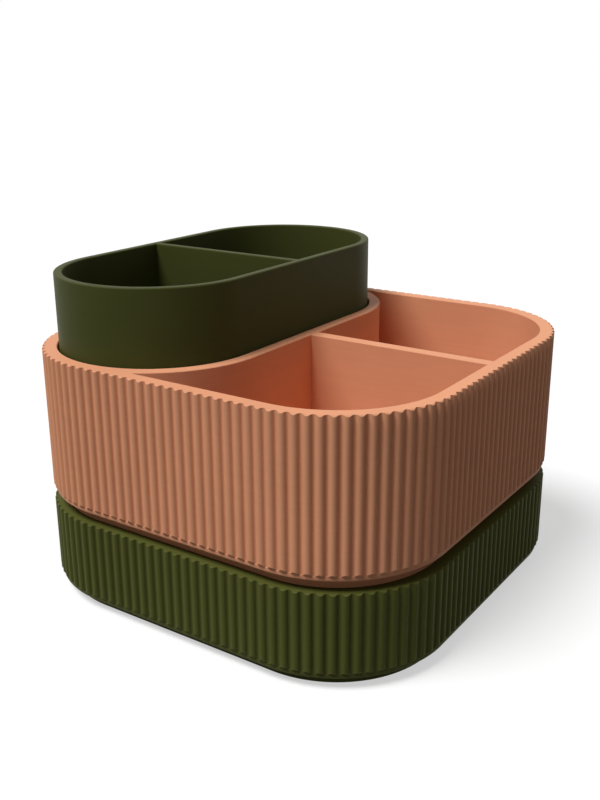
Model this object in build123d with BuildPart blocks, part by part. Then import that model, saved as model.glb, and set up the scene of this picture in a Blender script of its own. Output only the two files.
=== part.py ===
from build123d import *
import math
import os

# A stacking stand for make-up: a low ribbed tray carries a deeper ribbed tray, whose left half is a
# pocket for a tall lift-out tub and whose right half is split in two. Nothing is fastened: the tray
# stands on the rim below it and the tub stands in its pocket.
# Millimetres. The origin is the middle of the underside, +Y points to the back and +Z up.

# Trays, measured straight across the crests of the ribs
side = 180.0
corner_radius = 48.0
rim_width = 6.0
mouth_chamfer = 0.3
base_height = 38.3
tray_height = 64.7
floor_thickness = 2.0

# Ribs, evenly spaced along the line of their valleys, each with a flat crest between sharp valleys
ribs_per_quarter = 36
rib_depth = 1.2
crest_width = 1.7

# Cuts across both ends of the ribs, measured from straight sides that run just over the crests
side_gap = 0.1
rim_cut = 0.7
underside_cut = 1.5

# Plain band under the ribs of each tray, and a foot drawn in below it to leave a shadow gap
band_inset = 1.8
band_height = 2.0
band_chamfer = 1.2
foot_inset = 4.7
foot_height = 3.8

# Lip under the upper tray, which keeps it centred in the mouth of the lower one
lip_clearance = 0.4
lip_depth = 3.0
lip_wall = 3.0
tray_floor_thickness = 3.0

# Walls inside the upper tray
pocket_wall = 5.0
divider_thickness = 5.0

# Lift-out tub
tub_clearance = 0.8
tub_rise = 30.0
tub_wall = 3.4
tub_floor = 3.0
tub_divider = 3.0
tub_rim_chamfer = 0.5
tub_underside_chamfer = 1.0

# Places that follow from the sizes
straight = side / 2 - corner_radius
valley_radius = corner_radius - rib_depth
bend_length = valley_radius * math.pi / 2
rib_pitch = (2 * straight + bend_length) / ribs_per_quarter
inner_side = side - 2 * rim_width
inner_radius = corner_radius - rim_width
pocket_radius = inner_radius
pocket_centre = pocket_radius - inner_side / 2
base_floor_top = foot_height + floor_thickness
tray_bottom = base_height
tray_top = tray_bottom + tray_height
tray_floor_top = tray_bottom + foot_height + floor_thickness
lip_bottom = tray_bottom - lip_depth
tub_height = tray_top + tub_rise - tray_floor_top


def ribbed_point(rib, height):
    """A point on the ribbed outline, counted in ribs from the middle of the front.

    The height is measured outwards from the valleys of the ribs."""
    quarter, rib_in_quarter = divmod(rib, ribs_per_quarter)
    along = rib_in_quarter * rib_pitch
    reach = valley_radius + height
    if along < straight:
        point = Vector(along, -straight - reach)
    elif along < straight + bend_length:
        angle = (along - straight) / valley_radius
        point = Vector(straight + reach * math.sin(angle), -straight - reach * math.cos(angle))
    else:
        point = Vector(straight + reach, along - 2 * straight - bend_length)
    return point.rotate(Axis.Z, 90 * quarter)


def ribbed_face():
    """The outline of the ribs: a valley, a flank up to a flat crest and a flank down for each."""
    half_crest = crest_width / rib_pitch / 2
    corners = []
    for rib in range(4 * ribs_per_quarter):
        corners += [
            ribbed_point(rib, 0),
            ribbed_point(rib + 0.5 - half_crest, rib_depth),
            ribbed_point(rib + 0.5 + half_crest, rib_depth),
        ]
    with BuildSketch() as face:
        with BuildLine():
            Polyline(*corners, close=True)
        make_face()
    return face.sketch


def sides_over_ribs():
    """An outline just over the crests, whose corners stand over the valleys in the bends."""
    first_in_bend = math.ceil(straight / rib_pitch)
    corners = [
        ribbed_point(quarter * ribs_per_quarter + rib, rib_depth + side_gap)
        for quarter in range(4)
        for rib in range(first_in_bend, ribs_per_quarter - first_in_bend + 1)
    ]
    with BuildSketch() as sides:
        with BuildLine():
            Polyline(*corners, close=True)
        make_face()
    return sides.sketch


def ribbed_block(bottom, height):
    """A solid tray: ribs with both ends cut back at 45 degrees, over a plain band and a foot."""
    band_bottom = bottom + foot_height
    body_bottom = band_bottom + band_height
    body_height = height - foot_height - band_height
    with BuildPart() as envelope:
        with BuildSketch(Plane.XY.offset(body_bottom)):
            add(sides_over_ribs())
        extrude(amount=body_height)
        chamfer(envelope.edges().group_by(Axis.Z)[0], length=underside_cut)
        chamfer(envelope.edges().group_by(Axis.Z)[-1], length=rim_cut)
    with BuildPart() as block:
        with BuildSketch(Plane.XY.offset(body_bottom)):
            add(ribbed_face())
        extrude(amount=body_height)
        add(envelope.part, mode=Mode.INTERSECT)
        with BuildSketch(Plane.XY.offset(body_bottom)):
            inset_square(band_inset)
        extrude(amount=-band_height)
        chamfer(block.edges().group_by(Axis.Z)[0], length=band_chamfer)
        with BuildSketch(Plane.XY.offset(band_bottom)):
            inset_square(foot_inset)
        extrude(amount=-foot_height)
    return block.part


def inset_square(inset):
    """Draw the plain outline of a tray, so far inside the crests of its ribs."""
    RectangleRounded(side - 2 * inset, side - 2 * inset, corner_radius - inset)


def pocket_outline(radius, mode=Mode.ADD):
    """Draw the long round-ended outline that the pocket and the tub share."""
    with Locations((pocket_centre, 0)):
        SlotOverall(inner_side - 2 * pocket_radius + 2 * radius, 2 * radius, rotation=90, mode=mode)


# Lower tray: one open compartment behind the ribs
with BuildPart() as base_tray:
    add(ribbed_block(0, base_height))
    with BuildSketch(Plane.XY.offset(base_height)):
        inset_square(rim_width)
    extrude(amount=base_floor_top - base_height, mode=Mode.SUBTRACT)
    base_mouth = base_tray.faces().sort_by(Axis.Z)[-1].inner_wires().edges()
    chamfer(base_mouth, length=mouth_chamfer)

# Upper tray: a pocket on the left, two compartments on the right, a locating lip below
with BuildPart() as divided_tray:
    add(ribbed_block(tray_bottom, tray_height))
    with BuildSketch(Plane.XY.offset(tray_bottom)):
        inset_square(rim_width + lip_clearance)
    extrude(amount=-lip_depth)
    with BuildSketch(Plane.XY.offset(lip_bottom)):
        inset_square(rim_width + lip_clearance + lip_wall)
    extrude(amount=tray_floor_top - tray_floor_thickness - lip_bottom, mode=Mode.SUBTRACT)
    with BuildSketch(Plane.XY.offset(tray_top)):
        inset_square(rim_width)
        pocket_outline(pocket_radius + pocket_wall, mode=Mode.SUBTRACT)
        Rectangle(inner_side, divider_thickness, mode=Mode.SUBTRACT)
        pocket_outline(pocket_radius)
    extrude(amount=tray_floor_top - tray_top, mode=Mode.SUBTRACT)
    tray_rim = divided_tray.faces().sort_by(Axis.Z)[-1]
    tray_mouths = tray_rim.inner_wires().edges().sort_by(Axis.Y, reverse=True)
    chamfer(tray_mouths, length=mouth_chamfer)

# Tub: a tall round-ended cup with one wall across its middle
with BuildPart() as tub:
    with BuildSketch(Plane.XY.offset(tray_floor_top)):
        pocket_outline(pocket_radius - tub_clearance)
    extrude(amount=tub_height)
    with BuildSketch(Plane.XY.offset(tray_floor_top + tub_height)):
        pocket_outline(pocket_radius - tub_clearance - tub_wall)
        with Locations((pocket_centre, 0)):
            Rectangle(2 * pocket_radius, tub_divider, mode=Mode.SUBTRACT)
    extrude(amount=tub_floor - tub_height, mode=Mode.SUBTRACT)
    chamfer(tub.faces().sort_by(Axis.Z)[-1].edges(), length=tub_rim_chamfer)
    chamfer(tub.faces().sort_by(Axis.Z)[0].edges(), length=tub_underside_chamfer)

base_tray.part.label = "base_tray"
divided_tray.part.label = "divided_tray"
tub.part.label = "tub"

os.makedirs("parts", exist_ok=True)
export_step(base_tray.part, "parts/base_tray.step")
export_step(divided_tray.part, "parts/divided_tray.step")
export_step(tub.part, "parts/tub.step")
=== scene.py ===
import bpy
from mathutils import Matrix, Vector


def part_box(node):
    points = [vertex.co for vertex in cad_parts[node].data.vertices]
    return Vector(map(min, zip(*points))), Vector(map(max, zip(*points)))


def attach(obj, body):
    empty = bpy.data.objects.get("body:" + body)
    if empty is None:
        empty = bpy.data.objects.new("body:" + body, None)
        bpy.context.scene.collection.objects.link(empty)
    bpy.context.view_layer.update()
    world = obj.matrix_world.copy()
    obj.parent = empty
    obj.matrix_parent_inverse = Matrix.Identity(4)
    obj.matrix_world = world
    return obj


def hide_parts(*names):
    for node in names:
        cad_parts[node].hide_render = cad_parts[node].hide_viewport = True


bl_info = {
    "name": "Stacking Make-up Stand",
    "version": (1, 0, 0),
    "blender": (4, 5, 0),
    "location": "View3D > Sidebar > Make-up Stand",
    "description": "Builds a make-up stand of two ribbed trays and a lift-out tub in matte plastic",
    "category": "Add Mesh",
}

import math

import bmesh
import bpy
from mathutils import Vector

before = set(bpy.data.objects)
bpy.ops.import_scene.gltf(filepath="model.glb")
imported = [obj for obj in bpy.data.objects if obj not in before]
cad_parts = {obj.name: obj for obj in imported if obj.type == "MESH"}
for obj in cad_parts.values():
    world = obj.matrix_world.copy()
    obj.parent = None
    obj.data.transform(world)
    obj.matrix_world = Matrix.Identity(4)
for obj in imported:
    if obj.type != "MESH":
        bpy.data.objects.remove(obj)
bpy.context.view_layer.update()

MM = 0.001
HAIR = 0.00001
CUT_EDGE = math.radians(35)

# Places that come from the frame
BASE_LOW, BASE_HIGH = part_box("base_tray")
TRAY_LOW, TRAY_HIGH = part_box("divided_tray")
TUB_LOW, TUB_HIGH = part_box("tub")
SIDE = TRAY_HIGH.x - TRAY_LOW.x
TRAY_SEAT = BASE_HIGH.z
TRAY_FLOOR = TUB_LOW.z
TUB_MIDDLE = (TUB_LOW + TUB_HIGH) / 2
TUB_RADIUS = (TUB_HIGH.x - TUB_LOW.x) / 2

# Stage, in metres: the camera's place, lens and turn were fitted to the photograph's outlines
FLOOR_SIZE = 6.0
KEY_FROM = (-0.2, -0.42, 0.885)
OVERHEAD_HEIGHT = 1.1
OVERHEAD_SIZE = 1.6
SENSOR = 36.0
CAMERA_LENS = 44.486
CAMERA_PLACE = (0.22527, -0.33403, 0.2084)
CAMERA_TURN = (math.radians(71.377), math.radians(0.301), math.radians(34.193))
CLIP_START = 0.01
CLIP_END = 20

# Plastic: noise scales per metre, shares of each noise in relief, tone and roughness
LINE_STRETCH = (14, 14, 900)
CLOUD_SCALE = 38.0
GRAIN_SCALE = 2600.0
RELIEF_LINES, RELIEF_UNEVEN, RELIEF_GRAIN = 0.5, 2.2, 0.5
TONE_UNEVEN, TONE_CLOUD = 0.35, 0.5
ROUGH_UNEVEN, ROUGH_CLOUD = 0.1, 0.16
DARKER, LIGHTER, LIFT = 0.86, 1.12, 0.004
PLASTIC_IOR = 1.46


def length(name, description, default, **limits):
    """A length property, in metres."""
    return bpy.props.FloatProperty(
        name=name, description=description, default=default, min=0.0, subtype="DISTANCE",
        unit="LENGTH", precision=5, **limits)


def count(name, description, default):
    """A whole-number property."""
    return bpy.props.IntProperty(name=name, description=description, default=default, min=1)


def colour(name, description, default):
    """A colour property."""
    return bpy.props.FloatVectorProperty(
        name=name, description=description, default=default, size=3, min=0.0, max=1.0,
        subtype="COLOR")


def factor(name, description, default, high=1.0):
    """A plain number property."""
    return bpy.props.FloatProperty(
        name=name, description=description, default=default, min=0.0, max=high, precision=3)


class StandRibs(bpy.types.PropertyGroup):
    """Sizes of the ribs and rims that both trays share."""
    corner_radius: length("Corner radius", "Radius of a corner over the ribs", 48 * MM)
    rim_width: length("Rim width", "From the crest of a rib to the inside", 6 * MM)
    rib_count: count("Ribs", "Ribs all the way round", 144)
    rib_depth: length("Rib depth", "From valley to crest", 1.2 * MM)
    crest_share: factor("Crest share", "Share of each rib that its rounded crest takes up", 0.68)
    arc_steps: count("Arc steps", "Faces across half a valley and half a crest", 3)
    path_steps: count("Corner steps", "Steps round a corner of the path", 64)
    rim_cut: length("Rim cut", "Cut on the tops of the ribs", 0.45 * MM)
    underside_cut: length("Underside cut", "Cut on the lower ends of the ribs", 1.0 * MM)
    mouth_chamfer: length("Mouth chamfer", "Softened edge round each opening", 0.3 * MM)
    band_height: length("Band height", "Plain band under the ribs", 2.0 * MM)
    band_radius: length("Band radius", "Rounded lower edge of the band", 0.7 * MM)
    band_steps: count("Band steps", "Faces round the band's lower edge", 4)
    foot_inset: length("Foot inset", "Foot's place inside the crests", 5.4 * MM)
    foot_height: length("Foot height", "Plain foot under the band", 4.5 * MM)
    foot_chamfer: length("Foot chamfer", "Softened edge under the foot", 0.4 * MM)
    floor_thickness: length("Floor", "Floor over the top of the foot", 1.3 * MM)


class StandTray(bpy.types.PropertyGroup):
    """Sizes inside and under the upper tray."""
    lip_clearance: length("Lip clearance", "Gap between lip and lower tray", 0.4 * MM)
    lip_wall: length("Lip wall", "Thickness of the locating lip", 3 * MM)
    tray_floor: length("Tray floor", "Thickness of the floor over the hollow underside", 3 * MM)
    pocket_wall: length("Pocket wall", "Wall between pocket and compartments", 5 * MM)
    divider: length("Divider", "Wall between the two compartments", 5 * MM)
    round_steps: count("Round steps", "Faces round a full circle", 192)


class StandTub(bpy.types.PropertyGroup):
    """Sizes of the lift-out tub."""
    wall: length("Wall", "Thickness of the tub's wall", 3.4 * MM)
    floor: length("Floor", "Thickness of the tub's floor", 3 * MM)
    divider: length("Divider", "Thickness of the wall across the tub", 3 * MM)
    rim_radius: length("Rim radius", "Rounded edge of the rim", 0.6 * MM)
    rim_steps: count("Rim steps", "Faces round a rim edge", 4)
    underside_chamfer: length("Underside chamfer", "Cut under the tub", 1 * MM)


class StandFinish(bpy.types.PropertyGroup):
    """Colours and surface of the moulded plastics."""
    green: colour("Green", "Dark olive green of the lower tray", (0.081, 0.088, 0.018))
    # Painted shade: the tub's green is the lower tray's olive plastic made darker, to stand for
    # less light on the tub
    tub_green_painted_shade: colour("Tub green, painted shade", "The lower tray's olive green darkened on the tub as painted shade", (0.047, 0.052, 0.011))
    terracotta: colour("Terracotta", "Warm terracotta plastic", (0.74, 0.335, 0.185))
    gloss: factor("Gloss", "Strength of the plastic's reflections", 0.07)
    roughness: factor("Roughness", "Roughness of the matte plastic", 0.52)
    layer_height: length("Layer height", "Height of one level line", 0.3 * MM)
    layer_depth: length("Layer depth", "Depth of the level lines", 0.012 * MM)


class StandStage(bpy.types.PropertyGroup):
    """Floor, lamps and camera."""
    floor_tint: colour("Floor", "Colour of the floor as it lights the stand", (0.12, 0.12, 0.12))
    shadow_tint: colour(
        "Shadow", "Share of the floor's white that shadows take away", (0.45, 0.45, 0.45))
    key_strength: factor("Key", "Strength of the key lamp", 3.2, high=20.0)
    key_angle: bpy.props.FloatProperty(
        name="Key size", description="Softness of the key lamp", default=math.radians(26),
        subtype="ANGLE", unit="ROTATION")
    overhead_power: factor("Overhead", "Power of the wide lamp over the stand", 1.5, high=50.0)
    sky_strength: factor("Sky", "Strength of the even light", 0.13, high=5.0)


# Selecting and shaping


def only(piece):
    """Makes a piece the only selected object."""
    bpy.ops.object.select_all(action="DESELECT")
    piece.select_set(True)
    bpy.context.view_layer.objects.active = piece


def named(name):
    """Names the object that was just added, and puts its place into its mesh."""
    piece = bpy.context.active_object
    piece.name = name
    piece.data.name = name
    only(piece)
    bpy.ops.object.transform_apply(location=True, rotation=True, scale=True)
    return piece


def begin_edit(piece):
    """Opens a piece in edit mode with nothing selected."""
    only(piece)
    bpy.ops.object.mode_set(mode="EDIT")
    bpy.ops.mesh.select_all(action="DESELECT")


def end_edit():
    """Goes back to object mode."""
    bpy.ops.object.mode_set(mode="OBJECT")


def pick(piece, kind, test):
    """Selects only the vertices, edges or faces that pass the test."""
    bpy.ops.mesh.select_mode(type=kind)
    bpy.ops.mesh.select_all(action="DESELECT")
    mesh = bmesh.from_edit_mesh(piece.data)
    parts = {"VERT": mesh.verts, "EDGE": mesh.edges, "FACE": mesh.faces}[kind]
    for part in parts:
        if test(part):
            part.select_set(True)
    mesh.select_flush_mode()
    bmesh.update_edit_mesh(piece.data)


def at_height(edge, height):
    """True where both ends of an edge are at that height."""
    return all(abs(corner.co.z - height) < HAIR for corner in edge.verts)


def open_at(height):
    """A test for the open edges at that height."""
    return lambda edge: edge.is_boundary and at_height(edge, height)


def merge_doubles(gap=HAIR / 10):
    """Merges all vertices that lie together."""
    bpy.ops.mesh.select_all(action="SELECT")
    bpy.ops.mesh.remove_doubles(threshold=gap)


def spread(piece, across, along):
    """Moves the quarters of a round outline apart, so that straight runs join them."""
    begin_edit(piece)
    for axis, move in ((0, across), (1, along)):
        for sign in (-1, 1):
            pick(piece, "VERT", lambda v: sign * v.co[axis] > HAIR)
            shift = Vector((0, 0, 0))
            shift[axis] = sign * move
            bpy.ops.transform.translate(value=shift)
    end_edit()


def push_rim(rise, outward):
    """Extrudes the selected open rim upwards, and moves it along its walls' normals."""
    bpy.ops.mesh.extrude_edges_move(TRANSFORM_OT_translate={"value": (0, 0, rise)})
    bpy.ops.transform.shrink_fatten(value=outward, use_even_offset=True)


def join(pieces):
    """Joins pieces into the first of them."""
    bpy.ops.object.select_all(action="DESELECT")
    for piece in pieces:
        piece.select_set(True)
    bpy.context.view_layer.objects.active = pieces[0]
    bpy.ops.object.join()
    return pieces[0]


def finish_shell(piece):
    """Turns all faces outwards and shades the piece smooth between its real edges."""
    begin_edit(piece)
    merge_doubles()
    bpy.ops.mesh.normals_make_consistent(inside=False)
    open_edges = [edge for edge in bmesh.from_edit_mesh(piece.data).edges if not edge.is_manifold]
    end_edit()
    if open_edges:
        raise RuntimeError(f"{piece.name} has {len(open_edges)} open edges")
    only(piece)
    bpy.ops.object.shade_smooth_by_angle(angle=CUT_EDGE)


def dress(piece, body, node, material):
    """Gives a piece its material and its place in the frame."""
    piece.data.materials.clear()
    piece.data.materials.append(material)
    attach(piece, body)
    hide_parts(node)


# Outlines


def round_prism(name, radius, half_width, half_length, low, high, steps):
    """A closed prism whose outline is a circle with its quarters moved apart."""
    turn = math.pi / steps
    bpy.ops.mesh.primitive_cylinder_add(
        vertices=steps, radius=radius, depth=high - low, end_fill_type="NGON",
        location=(0, 0, (low + high) / 2), rotation=(0, 0, turn))
    prism = named(name)
    spread(prism, half_width - radius, half_length - radius)
    return prism


def rib_path(ribs):
    """The closed curve that the valleys of the ribs follow."""
    radius = ribs.corner_radius - ribs.rib_depth
    steps = 4 * ribs.path_steps
    bpy.ops.mesh.primitive_circle_add(
        vertices=steps, radius=radius, rotation=(0, 0, math.pi / steps))
    path = named("rib_path")
    straight = SIDE / 2 - ribs.corner_radius
    spread(path, straight, straight)
    bpy.ops.object.convert(target="CURVE")
    bpy.ops.object.mode_set(mode="EDIT")
    bpy.ops.curve.select_all(action="SELECT")
    bpy.ops.curve.switch_direction()
    bpy.ops.object.mode_set(mode="OBJECT")
    return path


def rib_line(ribs, pitch, height):
    """The outline of one rib, spun as three arcs that run into each other.

    It stands on the front side: x runs along the tray and the crest points to -y."""
    depth = ribs.rib_depth
    turn = 2 * math.atan2(2 * depth, pitch)
    crest = pitch / 2 / math.sin(turn) * ribs.crest_share
    valley = pitch / 2 / math.sin(turn) * (1 - ribs.crest_share)
    bpy.ops.mesh.primitive_plane_add(size=2 * pitch, location=(pitch, -pitch, height))
    rib = named("rib")
    begin_edit(rib)
    pick(rib, "VERT", lambda v: v.co.x > HAIR or v.co.y < -HAIR)
    bpy.ops.mesh.delete(type="VERT")
    pick(rib, "VERT", lambda v: True)
    arcs = (
        (0, -valley, turn, 1),
        (pitch / 2, crest - depth, -2 * turn, 4),
        (pitch, -valley, turn, 1),
    )
    for x, y, angle, share in arcs:
        bpy.ops.mesh.spin(
            steps=share * ribs.arc_steps, angle=angle, center=(x, y, height), axis=(0, 0, 1))
    end_edit()
    return rib


def is_lengthwise(edge, height):
    """True for an open edge at that height which runs along the tray."""
    return at_height(edge, height) and edge.is_boundary and abs(
        edge.verts[0].co.x - edge.verts[1].co.x) > HAIR


def rib_strip(ribs, pitch, low, high):
    """One rib as a strip of the tray's outside: its cut ends, the rim and the top of the band."""
    rib = rib_line(ribs, pitch, low)
    back = ribs.foot_inset - ribs.rib_depth
    begin_edit(rib)
    pick(rib, "EDGE", lambda e: True)
    bpy.ops.mesh.extrude_edges_move(TRANSFORM_OT_translate={"value": (0, back, 0)})
    bpy.ops.transform.resize(value=(1, 0, 1), center_override=(0, back, 0))
    pick(rib, "FACE", lambda f: True)
    bpy.ops.mesh.extrude_region_move(TRANSFORM_OT_translate={"value": (0, 0, high - low)})
    cuts = (
        (ribs.rim_cut, high, 1),
        (ribs.underside_cut, low, -1),
    )
    for size, level, way in cuts:
        bpy.ops.mesh.select_all(action="SELECT")
        bpy.ops.mesh.bisect(
            plane_co=(0, size - ribs.rib_depth, level), plane_no=(0, -1, way),
            use_fill=True, clear_outer=True)
    merge_doubles()

    def is_inside(face):
        """True for the two end caps, the flat back and the underside."""
        middle = face.calc_center_median()
        at_end = middle.x < HAIR or middle.x > pitch - HAIR
        return at_end or middle.y > back - HAIR or middle.z < low + HAIR

    pick(rib, "FACE", is_inside)
    bpy.ops.mesh.delete(type="FACE")
    pick(rib, "EDGE", lambda e: is_lengthwise(e, low))
    bpy.ops.mesh.extrude_edges_move()
    bpy.ops.transform.resize(
        value=(1, 0, 1), center_override=(0, ribs.underside_cut - ribs.rib_depth, 0))
    merge_doubles()
    end_edit()
    return rib


def underside_steps(ribs):
    """The steps from the lower ends of the ribs down the plain band and in to the foot."""
    radius = ribs.band_radius
    turns = [math.pi / 2 * step / ribs.band_steps for step in range(ribs.band_steps + 1)]
    rounded = [
        (radius * (math.cos(near) - math.cos(far)), radius * (math.sin(near) - math.sin(far)))
        for near, far in zip(turns, turns[1:])
    ]
    ledge = ribs.foot_inset - ribs.underside_cut - radius
    return [(0, radius - ribs.band_height), *rounded, (ledge, 0)]


def run_profile(piece, start, steps):
    """Extrudes the open edge at one height, step by step, inwards and up or down."""
    pick(piece, "EDGE", lambda e: is_lengthwise(e, start))
    for inward, rise in steps:
        bpy.ops.mesh.extrude_edges_move(TRANSFORM_OT_translate={"value": (0, inward, rise)})


def round_tray(name, strip, path, ribs, pitch):
    """Repeats a strip along the path and closes it into a ring."""
    strip.name = name
    strip.data.name = name
    only(strip)
    repeat = strip.modifiers.new("ribs", "ARRAY")
    repeat.count = ribs.rib_count
    repeat.use_relative_offset = False
    repeat.use_constant_offset = True
    repeat.constant_offset_displace = (pitch, 0, 0)
    repeat.use_merge_vertices = True
    repeat.merge_threshold = HAIR
    bend = strip.modifiers.new("round", "CURVE")
    bend.object = path
    bend.deform_axis = "POS_X"
    bpy.ops.object.modifier_apply(modifier=repeat.name)
    bpy.ops.object.modifier_apply(modifier=bend.name)
    begin_edit(strip)
    merge_doubles(HAIR)
    end_edit()
    return strip


def remove(piece):
    """Deletes a helper object."""
    bpy.data.objects.remove(piece)


# Shader nodes


class Socket:
    """A shader socket that adds Math nodes when it is used in an expression."""

    def __init__(self, tree, socket):
        self.tree = tree
        self.socket = socket

    def math(self, operation, *values):
        """A Math node on this socket and the given values."""
        return self.tree.add("ShaderNodeMath", {"operation": operation}, [self, *values])

    def __add__(self, other):
        return self.math("ADD", other)

    def __radd__(self, other):
        return self.math("ADD", other)

    def __sub__(self, other):
        return self.math("SUBTRACT", other)

    def __rsub__(self, other):
        return self.tree.add("ShaderNodeMath", {"operation": "SUBTRACT"}, [other, self])

    def __mul__(self, other):
        return self.math("MULTIPLY", other)

    def __rmul__(self, other):
        return self.math("MULTIPLY", other)


class Tree:
    """A material's or the world's node tree, with one method for any node."""

    def __init__(self, owner):
        owner.use_nodes = True
        self.nodes = owner.node_tree.nodes
        self.links = owner.node_tree.links
        self.nodes.clear()

    def add(self, kind, settings=None, inputs=None, output=0):
        """Adds a node, sets it, feeds its sockets by name or in order, and returns one output."""
        node = self.nodes.new(kind)
        for key, value in (settings or {}).items():
            setattr(node, key, value)
        pairs = inputs.items() if isinstance(inputs, dict) else enumerate(inputs or [])
        for key, value in pairs:
            if isinstance(value, Socket):
                self.links.new(value.socket, node.inputs[key])
            else:
                node.inputs[key].default_value = value
        if not node.outputs:
            return None
        return Socket(self, node.outputs[output])


def blend_colours(tree, share, first, second):
    """Mixes two colours by a share from 0 to 1."""
    return tree.add(
        "ShaderNodeMix", {"data_type": "RGBA"},
        {0: share, 6: first, 7: second}, output=2)


def plastic(name, tint, finish):
    """Matte plastic laid down in fine level lines, with slow shifts of tone between them."""
    material = bpy.data.materials.new(name)
    tree = Tree(material)
    place = tree.add("ShaderNodeTexCoord", output=3)
    height = tree.add("ShaderNodeSeparateXYZ", None, [place], output=2)
    lines = (height * (2 * math.pi / finish.layer_height)).math("SINE")
    stretched = tree.add("ShaderNodeMapping", None, {"Vector": place, "Scale": LINE_STRETCH})
    uneven = tree.add(
        "ShaderNodeTexNoise", None,
        {"Vector": stretched, "Scale": 1.0, "Detail": 3.0, "Roughness": 0.6})
    cloud = tree.add(
        "ShaderNodeTexNoise", None, {"Vector": place, "Scale": CLOUD_SCALE, "Detail": 4.0})
    grain = tree.add(
        "ShaderNodeTexNoise", None, {"Vector": place, "Scale": GRAIN_SCALE, "Detail": 2.0})
    relief = lines * RELIEF_LINES + uneven * RELIEF_UNEVEN + grain * RELIEF_GRAIN
    normal = tree.add(
        "ShaderNodeBump", None,
        {"Strength": 1.0, "Distance": finish.layer_depth, "Height": relief})
    tone = (uneven - 0.5) * TONE_UNEVEN + (cloud - 0.5) * TONE_CLOUD + 0.5
    darker = (*[DARKER * part for part in tint], 1)
    lighter = (*[min(1.0, LIGHTER * part + LIFT) for part in tint], 1)
    base = blend_colours(tree, tone, darker, lighter)
    rough = finish.roughness + (cloud - 0.5) * ROUGH_CLOUD + (uneven - 0.5) * ROUGH_UNEVEN
    shader = tree.add(
        "ShaderNodeBsdfPrincipled", None,
        {"Base Color": base, "Roughness": rough, "IOR": PLASTIC_IOR,
         "Specular IOR Level": finish.gloss, "Normal": normal})
    tree.add("ShaderNodeOutputMaterial", None, {"Surface": shader})
    return material


def seen_as_white(tree):
    """1 for camera, glossy and transmission rays, which see the background as white."""
    seen = path = tree.add("ShaderNodeLightPath")
    for kind in ("Is Glossy Ray", "Is Transmission Ray"):
        seen = seen.math("MAXIMUM", Socket(tree, path.socket.node.outputs[kind]))
    return seen


def floor_material(tint, shadow_tint):
    """A floor that shows as white to the camera and keeps a soft shadow of the stand."""
    material = bpy.data.materials.new("pale_floor")
    tree = Tree(material)
    seen = seen_as_white(tree)
    matte = tree.add("ShaderNodeBsdfDiffuse", None, {"Color": (*tint, 1)})
    shaded = tree.add("ShaderNodeBsdfDiffuse", None, {"Color": (*shadow_tint, 1)})
    glow = tree.add(
        "ShaderNodeEmission", None,
        {"Color": (*[1 - part for part in shadow_tint], 1), "Strength": 1.0})
    white = tree.add("ShaderNodeAddShader", None, [shaded, glow])
    shader = tree.add("ShaderNodeMixShader", None, {0: seen, 1: matte, 2: white})
    tree.add("ShaderNodeOutputMaterial", None, {"Surface": shader})
    return material


def white_surround(strength):
    """Even light all round, which the camera and glossy surfaces see as white."""
    world = bpy.data.worlds.new("surround")
    bpy.context.scene.world = world
    tree = Tree(world)
    seen = seen_as_white(tree)
    light = tree.add("ShaderNodeBackground", None, {"Color": (1, 1, 1, 1), "Strength": strength})
    white = tree.add("ShaderNodeBackground", None, {"Color": (1, 1, 1, 1), "Strength": 1.0})
    shader = tree.add("ShaderNodeMixShader", None, {0: seen, 1: light, 2: white})
    tree.add("ShaderNodeOutputWorld", None, {"Surface": shader})


# Operators


class STAND_OT_base_tray(bpy.types.Operator):
    """Builds the low ribbed tray that carries the stand"""
    bl_idname = "stand.base_tray"
    bl_label = "Lower Tray"

    def execute(self, context):
        ribs = context.scene.stand_ribs
        path = rib_path(ribs)
        pitch = path.data.splines[0].calc_length() / ribs.rib_count
        low = BASE_LOW.z + ribs.foot_height + ribs.band_height
        strip = rib_strip(ribs, pitch, low, BASE_HIGH.z)
        cut = ribs.mouth_chamfer
        floor = BASE_LOW.z + ribs.foot_height + ribs.floor_thickness
        foot = ribs.foot_height - ribs.foot_chamfer
        begin_edit(strip)
        # The underside comes first: the floor inside can lie level with the ribs' lower ends
        run_profile(strip, low, (
            *underside_steps(ribs),
            (0, -foot),
            (ribs.foot_chamfer, -ribs.foot_chamfer),
        ))
        run_profile(strip, BASE_HIGH.z, (
            (ribs.rim_width - ribs.foot_inset - cut, 0),
            (cut, -cut),
            (0, floor + cut - BASE_HIGH.z),
        ))
        end_edit()
        tray = round_tray("base_tray_shell", strip, path, ribs, pitch)
        begin_edit(tray)
        for level in (floor, BASE_LOW.z):
            pick(tray, "EDGE", open_at(level))
            bpy.ops.mesh.edge_face_add()
        end_edit()
        remove(path)
        finish_shell(tray)
        finish = context.scene.stand_finish
        dress(tray, "base_tray", "base_tray",
              plastic("olive_plastic", finish.green, finish))
        return {"FINISHED"}


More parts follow.
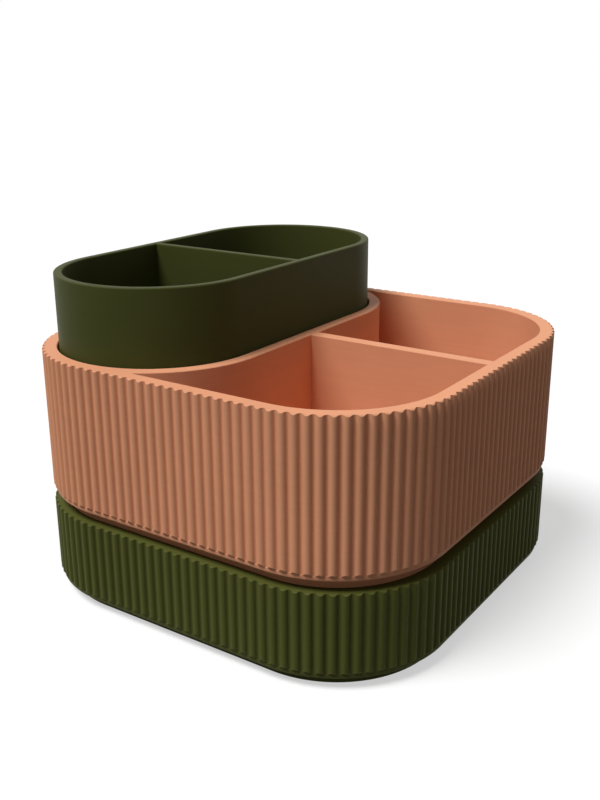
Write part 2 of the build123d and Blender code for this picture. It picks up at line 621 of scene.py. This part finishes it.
class STAND_OT_divided_tray(bpy.types.Operator):
    """Builds the deep ribbed tray with its pocket and two compartments"""
    bl_idname = "stand.divided_tray"
    bl_label = "Divided Tray"

    def execute(self, context):
        ribs = context.scene.stand_ribs
        tray_sizes = context.scene.stand_tray
        path = rib_path(ribs)
        pitch = path.data.splines[0].calc_length() / ribs.rib_count
        low = TRAY_SEAT + ribs.foot_height + ribs.band_height
        strip = rib_strip(ribs, pitch, low, TRAY_HIGH.z)
        to_lip = ribs.rim_width + tray_sizes.lip_clearance - ribs.foot_inset
        hollow_top = TRAY_FLOOR - tray_sizes.tray_floor
        begin_edit(strip)
        run_profile(strip, low, (
            *underside_steps(ribs),
            (0, -ribs.foot_height),
            (to_lip, 0),
            (0, TRAY_LOW.z - TRAY_SEAT),
            (tray_sizes.lip_wall, 0),
            (0, hollow_top - TRAY_LOW.z),
        ))
        end_edit()
        tray = round_tray("divided_tray_shell", strip, path, ribs, pitch)
        remove(path)
        begin_edit(tray)
        pick(tray, "EDGE", open_at(hollow_top))
        bpy.ops.mesh.edge_face_add()
        end_edit()
        tray = join([tray, self.pocket(ribs, tray_sizes), *self.compartments(ribs, tray_sizes)])
        begin_edit(tray)
        self.clear_straights(tray, ribs)
        pick(tray, "EDGE", open_at(TRAY_HIGH.z))
        bpy.ops.mesh.fill(use_beauty=False)
        end_edit()
        finish_shell(tray)
        finish = context.scene.stand_finish
        dress(tray, "divided_tray", "divided_tray",
              plastic("terracotta_plastic", finish.terracotta, finish))
        return {"FINISHED"}

    def clear_straights(self, tray, ribs):
        """Leaves one long edge along each straight run of the rim's inner line."""
        line = SIDE / 2 - ribs.foot_inset - ribs.mouth_chamfer / 2
        straight = SIDE / 2 - ribs.corner_radius

        def is_on_straight(corner):
            """True for a point between the ends of a straight run."""
            near, far = sorted((abs(corner.co.x), abs(corner.co.y)))
            on_rim = corner.is_boundary and abs(corner.co.z - TRAY_HIGH.z) < HAIR
            return on_rim and far > line and near < straight - HAIR

        pick(tray, "VERT", is_on_straight)
        bpy.ops.mesh.dissolve_verts()

    def pocket(self, ribs, sizes):
        """The round-ended pocket that the tub stands in."""
        inner = ribs.corner_radius - ribs.rim_width
        half = SIDE / 2 - ribs.rim_width
        cut = ribs.mouth_chamfer
        pocket = round_prism(
            "pocket", inner, inner, half, TRAY_FLOOR, TRAY_HIGH.z - cut, sizes.round_steps)
        shift(pocket, (inner - half, 0, 0))
        open_mouth(pocket, cut)
        return pocket

    def compartments(self, ribs, sizes):
        """The two compartments beside the pocket."""
        inner = ribs.corner_radius - ribs.rim_width
        half = SIDE / 2 - ribs.rim_width
        cut = ribs.mouth_chamfer
        top = TRAY_HIGH.z - cut
        rooms = []
        for way in (-1, 1):
            room = round_prism("room", inner, half, half, TRAY_FLOOR, top, sizes.round_steps)
            outer = inner + sizes.pocket_wall
            wall = round_prism(
                "pocket_wall", outer, outer, half - inner + outer, TRAY_FLOOR - cut, top + cut,
                sizes.round_steps)
            shift(wall, (inner - half, 0, 0))
            only(room)
            carve = room.modifiers.new("pocket_wall", "BOOLEAN")
            carve.object = wall
            carve.operation = "DIFFERENCE"
            carve.solver = "EXACT"
            bpy.ops.object.modifier_apply(modifier=carve.name)
            remove(wall)
            begin_edit(room)
            bpy.ops.mesh.select_all(action="SELECT")
            bpy.ops.mesh.bisect(
                plane_co=(0, way * sizes.divider / 2, 0), plane_no=(0, way, 0),
                use_fill=True, clear_inner=True)
            merge_doubles(HAIR)
            end_edit()
            open_mouth(room, cut)
            rooms.append(room)
        return rooms


class STAND_OT_tub(bpy.types.Operator):
    """Builds the tall lift-out tub with one wall across it"""
    bl_idname = "stand.tub"
    bl_label = "Tub"

    def execute(self, context):
        tub_sizes = context.scene.stand_tub
        steps = context.scene.stand_tray.round_steps
        half = (TUB_HIGH.y - TUB_LOW.y) / 2
        rim = tub_sizes.rim_radius
        # A hair over the pocket's floor, so that the two faces don't lie in one plane
        low = TUB_LOW.z + HAIR + tub_sizes.underside_chamfer
        tub = round_prism("tub_shell", TUB_RADIUS, TUB_RADIUS, half, low, TUB_HIGH.z - rim, steps)
        shift(tub, (TUB_MIDDLE.x, TUB_MIDDLE.y, 0))
        begin_edit(tub)
        pick(tub, "FACE", lambda f: abs(f.normal.z) > 0.5)
        bpy.ops.mesh.delete(type="ONLY_FACE")
        pick(tub, "EDGE", open_at(low))
        push_rim(-tub_sizes.underside_chamfer, -tub_sizes.underside_chamfer)
        bpy.ops.mesh.edge_face_add()
        pick(tub, "EDGE", open_at(TUB_HIGH.z - rim))
        round_over(rim, tub_sizes.rim_steps, -1)
        end_edit()
        cups = [self.cup(tub_sizes, steps, half, way) for way in (-1, 1)]
        tub = join([tub, *cups])
        begin_edit(tub)
        pick(tub, "EDGE", open_at(TUB_HIGH.z))
        bpy.ops.mesh.fill(use_beauty=False)
        end_edit()
        finish_shell(tub)
        finish = context.scene.stand_finish
        # The tub's plastic takes the darkened olive green, which is painted shade
        dress(tub, "tub", "tub", plastic("tub_plastic", finish.tub_green_painted_shade, finish))
        return {"FINISHED"}

    def cup(self, sizes, steps, half, way):
        """The inside of one half of the tub."""
        radius = TUB_RADIUS - sizes.wall
        rim = sizes.rim_radius
        cup = round_prism(
            "cup", radius, radius, half - sizes.wall, TUB_LOW.z + sizes.floor,
            TUB_HIGH.z - rim, steps)
        shift(cup, (TUB_MIDDLE.x, TUB_MIDDLE.y, 0))
        begin_edit(cup)
        bpy.ops.mesh.select_all(action="SELECT")
        bpy.ops.mesh.bisect(
            plane_co=(0, way * sizes.divider / 2, 0), plane_no=(0, way, 0),
            use_fill=True, clear_inner=True)
        pick(cup, "FACE", lambda f: f.normal.z > 0.5)
        bpy.ops.mesh.delete(type="ONLY_FACE")
        pick(cup, "EDGE", open_at(TUB_HIGH.z - rim))
        round_over(rim, sizes.rim_steps, 1)
        end_edit()
        return cup


def shift(piece, move):
    """Moves a whole piece in its mesh."""
    begin_edit(piece)
    bpy.ops.mesh.select_all(action="SELECT")
    bpy.ops.transform.translate(value=move)
    end_edit()


def open_mouth(prism, cut):
    """Takes the lid off a prism and flares its open edge by a small chamfer."""
    begin_edit(prism)
    top = max(corner.co.z for corner in prism.data.vertices)
    pick(prism, "FACE", lambda f: f.normal.z > 0.5)
    bpy.ops.mesh.delete(type="ONLY_FACE")
    pick(prism, "EDGE", open_at(top))
    push_rim(cut, cut)
    end_edit()


def round_over(radius, steps, way):
    """Rounds the selected open rim over by a quarter circle, outwards or inwards."""
    for step in range(steps):
        near = math.pi / 2 * step / steps
        far = math.pi / 2 * (step + 1) / steps
        rise = radius * (math.sin(far) - math.sin(near))
        push_rim(rise, way * radius * (math.cos(near) - math.cos(far)))


class STAND_OT_stage(bpy.types.Operator):
    """Adds the pale floor, the soft studio light and the camera"""
    bl_idname = "stand.stage"
    bl_label = "Stage"

    def execute(self, context):
        stage = context.scene.stand_stage
        bpy.ops.object.select_all(action="DESELECT")
        bpy.ops.mesh.primitive_plane_add(size=FLOOR_SIZE, location=(0, 0, BASE_LOW.z - HAIR))
        floor = named("floor")
        floor.data.materials.append(floor_material(stage.floor_tint, stage.shadow_tint))
        white_surround(stage.sky_strength)
        bpy.ops.object.light_add(type="SUN", location=KEY_FROM)
        key = context.active_object
        key.name = "key"
        key.data.energy = stage.key_strength
        key.data.angle = stage.key_angle
        key.rotation_euler = Vector(KEY_FROM).to_track_quat("Z", "Y").to_euler()
        bpy.ops.object.light_add(type="AREA", location=(0, 0, OVERHEAD_HEIGHT))
        overhead = context.active_object
        overhead.name = "overhead"
        overhead.data.energy = stage.overhead_power
        overhead.data.size = OVERHEAD_SIZE
        bpy.ops.object.camera_add(location=CAMERA_PLACE, rotation=CAMERA_TURN)
        camera = context.active_object
        camera.name = "camera"
        camera.data.sensor_width = SENSOR
        camera.data.lens = CAMERA_LENS
        camera.data.clip_start = CLIP_START
        camera.data.clip_end = CLIP_END
        context.scene.camera = camera
        context.scene.view_settings.view_transform = "Standard"
        return {"FINISHED"}


class STAND_PT_panel(bpy.types.Panel):
    """Lists the steps that build the stand"""
    bl_label = "Make-up Stand"
    bl_idname = "STAND_PT_panel"
    bl_space_type = "VIEW_3D"
    bl_region_type = "UI"
    bl_category = "Make-up Stand"

    def draw(self, context):
        for name in ("stand_ribs", "stand_tray", "stand_tub", "stand_finish", "stand_stage"):
            box = self.layout.box()
            group = getattr(context.scene, name)
            for key in group.__annotations__:
                box.prop(group, key)
        for step in STEPS:
            self.layout.operator(step.bl_idname)


GROUPS = {
    "stand_ribs": StandRibs,
    "stand_tray": StandTray,
    "stand_tub": StandTub,
    "stand_finish": StandFinish,
    "stand_stage": StandStage,
}
STEPS = (STAND_OT_base_tray, STAND_OT_divided_tray, STAND_OT_tub, STAND_OT_stage)


def register():
    """Registers the classes and hangs the property groups on the scene."""
    for name, group in GROUPS.items():
        bpy.utils.register_class(group)
        setattr(bpy.types.Scene, name, bpy.props.PointerProperty(type=group))
    for step in STEPS:
        bpy.utils.register_class(step)
    bpy.utils.register_class(STAND_PT_panel)


def unregister():
    """Takes everything back in the opposite order."""
    bpy.utils.unregister_class(STAND_PT_panel)
    for step in reversed(STEPS):
        bpy.utils.unregister_class(step)
    for name, group in reversed(GROUPS.items()):
        delattr(bpy.types.Scene, name)
        bpy.utils.unregister_class(group)


def main():
    """Builds the stand and its stage."""
    register()
    bpy.ops.stand.base_tray()
    bpy.ops.stand.divided_tray()
    bpy.ops.stand.tub()
    bpy.ops.stand.stage()


if __name__ == "__main__":
    main()
